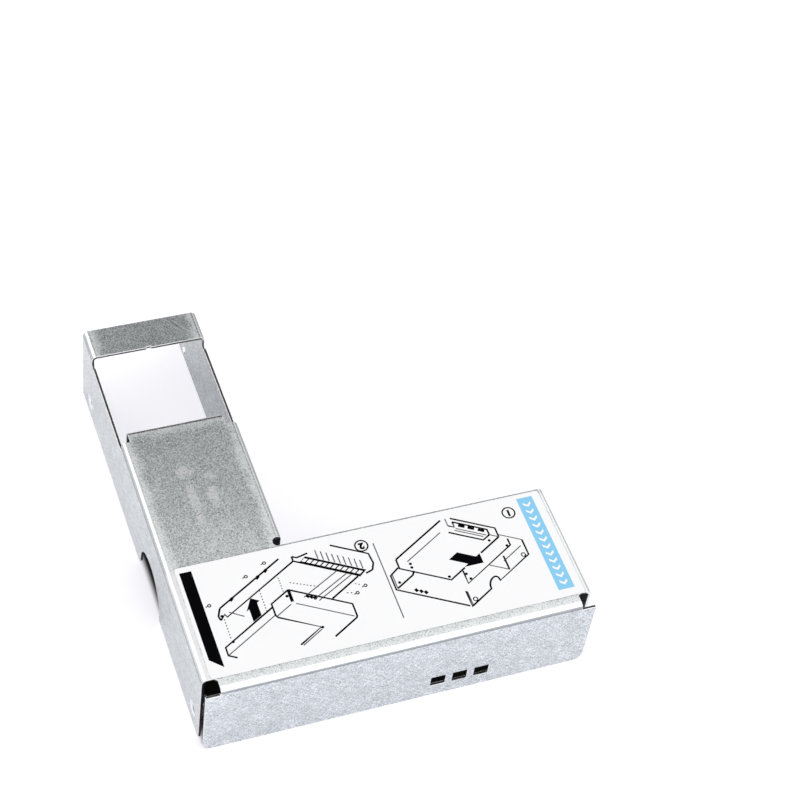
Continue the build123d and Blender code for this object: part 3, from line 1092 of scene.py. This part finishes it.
def figure_two():
    """The bracket with its drive let down into a tray."""
    at = isometric(FIGURE_TWO_PLACE, FIGURE_TWO_SCALE)
    _, width, depth, narrow, high = FIGURE_BRACKET
    end, low, brim, page_edge = depth + 104, high - DRIVE_HIGH - 4, high - 4, 51.0
    heavy = [
        [at(page_edge, 0, high), at(2, 0, high), at(0, 0, high - 2), at(0, 0, 0), at(0, width, 0)],
        [at(0, width, 0), at(depth, width, 0), at(depth, width, high - 3), at(depth, width - 3, high)],
        [at(depth, width - 3, high), at(depth, narrow, high), at(depth + 46, narrow, high)],
        [at(depth, width, low), at(end, width, low), at(end, width, brim), at(end, width - 14, brim)],
    ]
    thin = [
        [at(0, 5, high), at(0, width - 5, high)],
        [at(4, width, high), at(depth, width, high)],
        [at(depth, width, brim), at(end, width, brim)],
        [at(depth + 4, narrow - 4, high), at(depth + 46, narrow - 4, high)],
    ]
    tray = isometric(FIGURE_TWO_TRAY, FIGURE_TWO_SCALE)
    rail, wide, rail_low = 148.0, 105.0, -22.0
    heavy += [
        [tray(0, wide), tray(rail, wide), tray(rail + 3, wide, -7), tray(rail + 13, wide, -3)],
        [tray(rail + 13, wide, -3), tray(rail + 15, wide, -12), tray(rail + 8, wide, rail_low)],
        [tray(rail + 8, wide, rail_low), tray(24, wide, rail_low)],
        [tray(2, 0), tray(62, 0)],
        [tray(-3, 0, 3), tray(-3, wide - 3, 3), tray(0, wide), tray(0, wide, -9)],
        [tray(0, wide, -9), tray(-6, wide - 2, -3), tray(-12, wide - 8, -5)],
        [tray(-12, wide - 8, -5), tray(-18, wide - 12, -6)],
        [tray(-22, -6, 3), tray(-30, -4, -4), tray(-32, 0, -20), tray(-32, 62, -20)],
        [tray(-22, -6, 3), tray(-12, -2, 4)],
    ]
    thin += [[tray(-1, b, 3), tray(72, b)] for b in (14, 22, 38)]
    thin += [[(39.3, -0.8), (36.0, 1.35)]]
    thin += [[tray(-14, b, -3), tray(-14, b, -20)] for b in range(2, 76, 9)]
    strokes = [[at(0, b, 6), at(0, b + 4, 3)] for b in (58, 64, 70)]
    strokes += [[at(0, width, high - 2), at(0, width, 1)]]
    strokes += [[tray(a, wide, rail_low), tray(a + 6, wide, rail_low + 2)] for a in (52, 70, 128)]
    ladder = [tray(-17, 0, 1), tray(-17, 98, 1), tray(-3, 98, 3), tray(-3, 0, 3)]
    cells = []
    for b in range(3, 95, 8):
        cells.append([tray(-13, b, 1.5), tray(-13, b + 6, 1.5), tray(-6, b + 6, 2.5), tray(-6, b, 2.5)])
    dotted_lines = [
        ((24.7, -3.2), (24.7, -8.0)),
        ((30.3, 1.4), (30.3, -5.6)),
        ((41.0, 6.6), (41.0, 0.4)),
        ((15.8, -2.4), (22.8, -5.6)),
        ((6.8, -0.9), (5.2, -0.1)),
        ((9.6, 1.2), (7.8, 1.7)),
    ]
    thin += [stroke for line in dotted_lines for stroke in dotted(*line)]
    arrow = []
    u, v = FIGURE_TWO_ARROW
    for across, along in flat_arrow(*FIGURE_TWO_ARROW_SIZES):
        arrow.append((u + across * math.cos(ISOMETRIC), v + across * math.sin(ISOMETRIC) + along))
    dots = [at(6, width, 8), at(depth + 88, width, low + 1), at(depth, narrow - 2, high)]
    dots += [tray(rail + 9, wide, -8)]
    screws = [(26.7, -12.7), (32.3, -9.9), (43.4, -3.9), (4.4, 0.3), (7.0, 1.9)]
    rings = [circle(screw, FIGURE_TWO_RING, steps=12) for screw in screws]
    thin += [[(u + 0.3, v), (u + 1.0, v + 0.3)] for u, v in screws]
    fields = [arrow, ladder] + cells
    return dict(heavy=heavy, thin=thin, fields=fields, strokes=strokes, rings=rings, dots=dots)


def dotted(first, last):
    """Short strokes along a straight guide line."""
    start, end = Vector(first), Vector(last)
    count = int((end - start).length / GUIDE_PITCH)
    step = (end - start) / count
    return [[tuple(start + step * i), tuple(start + step * (i + GUIDE_STROKE))] for i in range(count)]


def make_numeral(text, middle):
    """Generic step number in a ring."""
    bpy.ops.object.select_all(action="DESELECT")
    bpy.ops.object.text_add()
    numeral = bpy.context.object
    numeral.data.body = text
    numeral.data.align_x = "CENTER"
    numeral.data.align_y = "CENTER"
    numeral.data.size = NUMERAL_SIZE
    numeral.data.offset = NUMERAL_WEIGHT
    numeral.data.extrude = INK_HEIGHT / MM
    print_on_page(numeral, "print_step_" + text, black_ink, middle=middle)


def band_mark(step):
    """Angle mark that points along the blue band, as a closed outline."""
    u, v = FIRST_BAND_MARK
    v += BAND_MARK_PITCH * step
    foot = v - BAND_MARK_HALF_HEIGHT
    tip = v + BAND_MARK_HALF_HEIGHT
    upper = [(u - BAND_MARK_HALF_WIDTH, foot), (u, tip), (u + BAND_MARK_HALF_WIDTH, foot)]
    return upper + [(x, y - BAND_MARK_THICKNESS) for x, y in reversed(upper)]


def make_print():
    """All the print: two generic figures with their step numbers, a bar, and a band with angle marks."""
    one, two = figure_one(), figure_two()
    drawn = {kind: one[kind] + two[kind] for kind in one}
    band_marks = [band_mark(step) for step in range(BAND_MARKS)]
    step_rings = [circle(at, STEP_RING_RADIUS) for at in (STEP_ONE, STEP_TWO)]
    dots = [circle(at, DOT_RADIUS, steps=12) for at in drawn["dots"]]
    print_lines("print_heavy_lines", drawn["heavy"], HEAVY_LINE, black_ink)
    print_lines("print_thin_lines", drawn["thin"] + [DIVIDER], THIN_LINE, grey_ink)
    print_lines("print_small_rings", drawn["rings"], THIN_LINE, black_ink, closed=True)
    print_lines("print_strokes", drawn["strokes"], STROKE_LINE, black_ink)
    print_lines("print_step_rings", step_rings, RING_LINE, black_ink, closed=True)
    print_fields("print_bar_and_arrows", [BAR] + drawn["fields"], black_ink)
    print_fields("print_dots", dots, black_ink)
    print_fields("print_band", [BLUE_BAND] + band_marks, blue_ink)
    make_numeral("1", STEP_ONE)
    make_numeral("2", STEP_TWO)


# Stage


def covered(tree, place, low, high, rear_softness):
    """1 on the part of the floor between two corners, 0 outside it, with a soft edge inside."""
    split = split_place(tree, place)
    sides = (
        remap(tree, split["X"], low[0], low[0] + COVER_SOFTNESS, 0.0, 1.0),
        remap(tree, split["X"], high[0] - COVER_SOFTNESS, high[0], 1.0, 0.0),
        remap(tree, split["Y"], low[1], low[1] + COVER_SOFTNESS, 0.0, 1.0),
        remap(tree, split["Y"], high[1] - rear_softness, high[1], 1.0, 0.0),
    )
    return times(tree, times(tree, sides[0], sides[1]), times(tree, sides[2], sides[3]))


def make_floor():
    """Pale floor: white to the camera and in the metal, with a soft shadow, and painted shade under the
    web.
    """
    bpy.ops.object.select_all(action="DESELECT")
    bpy.ops.mesh.primitive_plane_add(size=FLOOR_SIZE, location=(0, 0, 0))
    floor = bpy.context.object
    floor.name = "floor"
    material, tree, shader = new_material(
        "white_floor", Roughness=FLOOR_ROUGHNESS, Specular_IOR_Level=0.0, Emission_Color=FLOOR_GLOW
    )
    place = object_place(tree)
    front_leg = (sheet_high.x, sheet_low.y + FRONT_LEG_DEPTH)
    narrow_leg = (sheet_low.x + LEG_WIDTH, sheet_low.y + PARTITION_REAR)
    under = calculate(
        tree,
        "MAXIMUM",
        covered(tree, place, sheet_low, front_leg, OPEN_REAR_SOFTNESS),
        covered(tree, place, sheet_low, narrow_leg, COVER_SOFTNESS),
    )
    # Painted shade: the floor under the web is dark
    floor_with_painted_shade = between(tree, under, 1.0, UNDER_WEB_PAINTED_SHADE)
    path = add_node(tree, "ShaderNodeLightPath").outputs
    seen = multiply_colour(tree, SEEN_FLOOR, floor_with_painted_shade)
    unseen = multiply_colour(tree, ROOM_FLOOR, floor_with_painted_shade)
    tree.links.new(choose_colour(tree, path["Is Camera Ray"], unseen, seen), shader.inputs["Base Color"])
    lift = times(tree, path["Is Glossy Ray"], REFLECTED_FLOOR_LIFT)
    lift = calculate(tree, "MULTIPLY_ADD", path["Is Camera Ray"], SEEN_FLOOR_LIFT, lift)
    lift = times(tree, lift, minus(tree, 1.0, under))
    tree.links.new(lift, shader.inputs["Emission Strength"])
    give_materials(floor, material)


def make_world():
    """Soft room light with one dark side behind, and a white background for the camera."""
    world = bpy.data.worlds.new("studio")
    bpy.context.scene.world = world
    world.use_nodes = True
    tree = world.node_tree
    tree.nodes.clear()
    direction = add_node(tree, "ShaderNodeTexCoord").outputs["Generated"]
    dark_side = Vector(ROOM_DARK_SIDE).normalized()
    towards = add_node(tree, "ShaderNodeVectorMath", {0: direction, 1: dark_side}, operation="DOT_PRODUCT")
    level = remap(tree, towards.outputs["Value"], ROOM_DARK_REACH, ROOM_DARK_CORE, ROOM_LIGHT, ROOM_DARK)
    room = add_node(tree, "ShaderNodeBackground", {"Color": WHITE, "Strength": level}).outputs[0]
    white = add_node(tree, "ShaderNodeBackground", {"Color": WHITE, "Strength": 1.0}).outputs[0]
    path = add_node(tree, "ShaderNodeLightPath").outputs
    mixed = add_node(tree, "ShaderNodeMixShader", {0: path["Is Camera Ray"], 1: room, 2: white})
    output = tree.nodes.new("ShaderNodeOutputWorld")
    tree.links.new(mixed.outputs[0], output.inputs["Surface"])


def make_softbox(name, place, aim, width, depth, radiance):
    light = bpy.data.lights.new(name, "AREA")
    light.shape = "RECTANGLE"
    light.size = width
    light.size_y = depth
    light.energy = radiance * math.pi * width * depth
    softbox = new_object(name, light)
    softbox.location = place
    softbox.rotation_euler = (Vector(aim) - Vector(place)).to_track_quat("-Z", "Y").to_euler()


def make_camera():
    data = bpy.data.cameras.new("camera")
    data.sensor_width = SENSOR_WIDTH
    data.lens = CAMERA_LENS
    data.clip_start = CAMERA_CLIP
    camera = new_object("camera", data)
    place = Vector(CAMERA_PLACE)
    aimed = (Vector(CAMERA_AIM) - place).to_track_quat("-Z", "Y").to_matrix().to_4x4()
    rolled = Matrix.Rotation(CAMERA_ROLL, 4, "Z")
    camera.matrix_world = Matrix.Translation(place) @ aimed @ rolled
    bpy.context.scene.camera = camera


make_folded_sheet()
make_standoffs()
make_label_sheet()
make_print()
make_floor()
make_world()
for softbox in SOFTBOXES:
    make_softbox(*softbox)
make_camera()
bpy.context.scene.view_settings.view_transform = "Standard"
